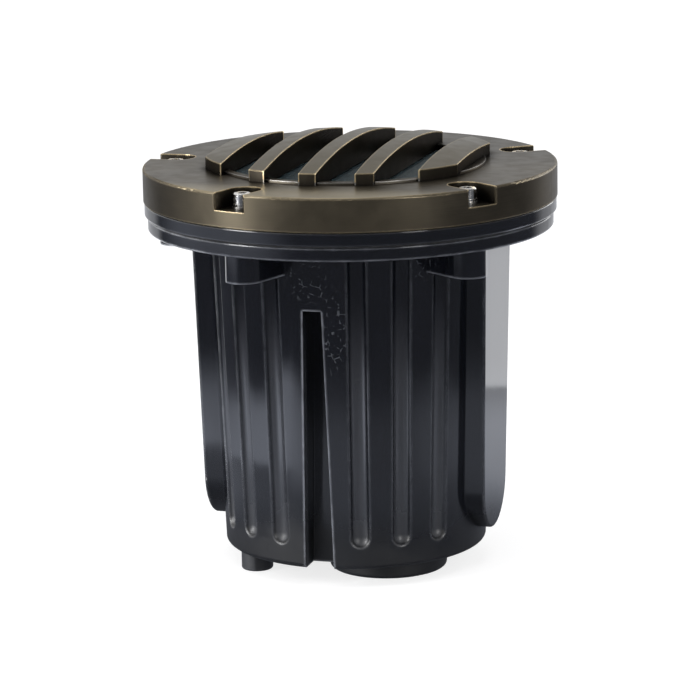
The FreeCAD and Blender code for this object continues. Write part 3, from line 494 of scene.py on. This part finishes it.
# Where light and dark parts of the floor and the world begin and end in glossy surfaces, in
# degrees of azimuth: rise from, rise to, fall from, fall to.
LEFT_PANEL = (-118.0, -90.0, -35.0, -27.0)
MIDDLE_PANEL = (-35.0, -27.0, -25.0, -13.0)
RIGHT_PANEL = (54.0, 74.0, 102.0, 118.0)
RIGHT_STRIP = (117.0, 122.0, 132.0, 138.0)
DIM_TABLE_RIGHT = (14.0, 24.0, 104.0, 122.0)
LIT_FLOOR_LEFT = (-115.0, -80.0, -40.0, -10.0)
DIM_ROOM_IN_FRONT = (-125.0, -95.0, 140.0, 168.0)
LIT_WALL_LEFT = (-125.0, -98.0, -34.0, -4.0)
# Distances from the light at which the floor behind it turns white, in metres.
WHITE_FLOOR_EDGE = (0.385, 0.398)


def mirrored_floor(w):
    """How bright the floor looks in glossy surfaces, around the object and behind it.

    Around it is a lit table top that is dark far in front; behind it the floor is white.
    """
    distance, azimuth = w.bearings("Object")
    rear = w.maths("MAXIMUM", w.ramp(azimuth, 132.0, 148.0),
                   w.ramp(azimuth, -122.0, -110.0, 1.0, 0.0))

    dimmer_right = w.ramp(w.window(azimuth, DIM_TABLE_RIGHT), 0.0, 1.0, 1.0, 0.68)
    table = w.product(w.ramp(distance, 0.08, 0.20, 0.16, 0.42),
                      w.ramp(distance, 0.29, 0.47, 1.0, 0.0), dimmer_right)
    left = w.product(w.window(azimuth, LEFT_PANEL), w.ramp(azimuth, -110.0, -36.0, 0.30, 1.05))
    nearer = w.maths("SUBTRACT", distance, w.ramp(azimuth, -62.0, -36.0, 0.0, 0.055))
    band = w.product(w.ramp(distance, 0.236, 0.250), w.ramp(nearer, 0.335, 0.400, 1.0, 0.0))
    soft_band = w.window(distance, (0.18, 0.26, 0.34, 0.44))
    patches = w.total(w.product(band, left),
                      w.product(soft_band, w.window(azimuth, MIDDLE_PANEL), 0.56),
                      w.product(soft_band, w.window(azimuth, RIGHT_PANEL), 0.18),
                      w.product(soft_band, w.window(azimuth, RIGHT_STRIP), 1.6))
    haze = w.product(w.ramp(distance, 0.36, 0.46), 0.11)
    side = w.product(w.ramp(distance, 0.80, 1.0), w.window(azimuth, LIT_FLOOR_LEFT), 0.45)

    far = w.product(w.ramp(distance, *WHITE_FLOOR_EDGE), rear,
                    w.ramp(distance, 0.76, 0.98, 1.12, 0.52))
    near = w.product(w.ramp(distance, *WHITE_FLOOR_EDGE, 1.0, 0.0), rear,
                     w.ramp(distance, 0.06, 0.34, 0.10, 0.34))
    return w.total(table, patches, haze, side), w.total(far, near)


def floor_look():
    """Pale floor that shows white, with the object's soft shadow on it."""
    material = bpy.data.materials.new("pale_floor")
    material.use_nodes = True
    w = Surroundings(material.node_tree)
    grain = w.add("ShaderNodeTexNoise")
    w.feed(grain.inputs["Scale"], 300.0)
    tone = w.ramp(grain.outputs["Fac"], 0.3, 0.7, 0.80, 0.82)
    distance = w.bearings("Object")[0]
    white = w.glow((1.0, 1.0, 1.0), w.ramp(distance, 0.7, 3.0, 0.78, 1.0))
    shown = w.both(w.paint((0.34, 0.34, 0.345)), white)
    around, behind = mirrored_floor(w)
    mirrored = w.both(w.glow((0.88, 0.94, 1.10), around), w.glow((0.96, 0.97, 1.0), behind))
    seen = w.blend(w.ray("Glossy"), shown, mirrored)
    output = w.add("ShaderNodeOutputMaterial")
    w.feed(output.inputs["Surface"],
           w.blend(w.ray("Camera", "Glossy", "Transmission"), w.paint(tone), seen))
    return material


def make_floor():
    reach = 12.0
    mesh = bpy.data.meshes.new("floor")
    corners = [(x * reach, y * reach, 0.0) for x, y in ((-1, -1), (1, -1), (1, 1), (-1, 1))]
    mesh.from_pydata(corners, [], [(0, 1, 2, 3)])
    floor = bpy.data.objects.new("floor", mesh)
    bpy.context.scene.collection.objects.link(floor)
    mesh.materials.append(floor_look())


def make_world(level):
    """White to the eye; in glossy surfaces white behind the object and darker in front of it."""
    world = bpy.data.worlds.new("studio")
    bpy.context.scene.world = world
    world.use_nodes = True
    w = Surroundings(world.node_tree)
    azimuth = w.bearings("Generated")[1]
    room = w.ramp(w.window(azimuth, DIM_ROOM_IN_FRONT), 0.0, 1.0, 1.0, 0.40)
    mirrored = w.total(room, w.product(w.window(azimuth, LIT_WALL_LEFT), 0.60))
    light = w.product(w.without(w.ray("Camera", "Transmission", "Glossy")), level)
    strength = w.total(w.product(w.ray("Glossy"), mirrored), w.ray("Camera", "Transmission"),
                       light)
    background = w.add("ShaderNodeBackground")
    w.feed(background.inputs["Color"], (1.0, 1.0, 1.0))
    w.feed(background.inputs["Strength"], strength)
    output = w.add("ShaderNodeOutputWorld")
    w.feed(output.inputs["Surface"], background.outputs[0])


def make_lamp(name, azimuth, distance, height, width, tall, watts, mirrored):
    """A soft rectangle of light that faces the object. Azimuth as the views have it."""
    angle = math.radians(azimuth)
    place = Vector((math.sin(angle) * distance, -math.cos(angle) * distance, height))
    light = bpy.data.lights.new(name, "AREA")
    light.shape = "RECTANGLE"
    light.size = width
    light.size_y = tall
    light.energy = watts
    lamp = bpy.data.objects.new(name, light)
    bpy.context.scene.collection.objects.link(lamp)
    turn = (Vector((0.0, 0.0, 0.12)) - place).to_track_quat("-Z", "Y").to_matrix().to_4x4()
    lamp.matrix_world = Matrix.Translation(place) @ turn
    lamp.visible_camera = False
    lamp.visible_glossy = mirrored


# Name, azimuth, distance, height, width, tall, watts, and whether glossy surfaces mirror it.
# The top one isn't mirrored, so that the bronze stays dark from above.
LAMPS = (
    ("key_left", -48.0, 1.15, 0.50, 0.32, 0.96, 11.0, True),
    ("fill_right", 52.0, 1.5, 0.60, 0.35, 0.9, 5.0, True),
    ("rim_right", 150.0, 1.3, 0.45, 0.7, 0.8, 5.0, True),
    ("top", 10.0, 0.15, 1.5, 1.2, 1.2, 14.0, False),
)
WORLD_LEVEL = 0.45

make_floor()
make_world(WORLD_LEVEL)
for lamp in LAMPS:
    make_lamp(*lamp)


# ---- camera ----

# Fitted to the photo: how far round, up and away from the cover's face it stands, its aim, its
# roll in radians and its lens in mm.
CAMERA_AZIMUTH = math.radians(16.3)
CAMERA_ELEVATION = 0.165
CAMERA_DISTANCE = 1.7534
CAMERA_AIM = Vector((-0.0015, -0.00044, 0.1044))
CAMERA_ROLL = -0.018
CAMERA_LENS = 183.8


def make_camera():
    """Stands where the photograph was taken from."""
    flat = CAMERA_DISTANCE * math.cos(CAMERA_ELEVATION)
    place = Vector((math.sin(CAMERA_AZIMUTH) * flat, -math.cos(CAMERA_AZIMUTH) * flat,
                    COVER_FACE + CAMERA_DISTANCE * math.sin(CAMERA_ELEVATION)))
    ahead = (CAMERA_AIM - place).normalized()
    right = ahead.cross(Vector((0.0, 0.0, 1.0))).normalized()
    up = right.cross(ahead)
    tilted_right = math.cos(CAMERA_ROLL) * right + math.sin(CAMERA_ROLL) * up
    tilted_up = math.cos(CAMERA_ROLL) * up - math.sin(CAMERA_ROLL) * right
    data = bpy.data.cameras.new("camera")
    data.sensor_width = 36.0
    data.lens = CAMERA_LENS
    data.clip_start = 0.05
    data.clip_end = 60.0
    camera = bpy.data.objects.new("camera", data)
    bpy.context.scene.collection.objects.link(camera)
    turn = Matrix((tilted_right, tilted_up, -ahead)).transposed().to_4x4()
    camera.matrix_world = Matrix.Translation(place) @ turn
    bpy.context.scene.camera = camera


make_camera()
bpy.context.scene.view_settings.view_transform = "Standard"
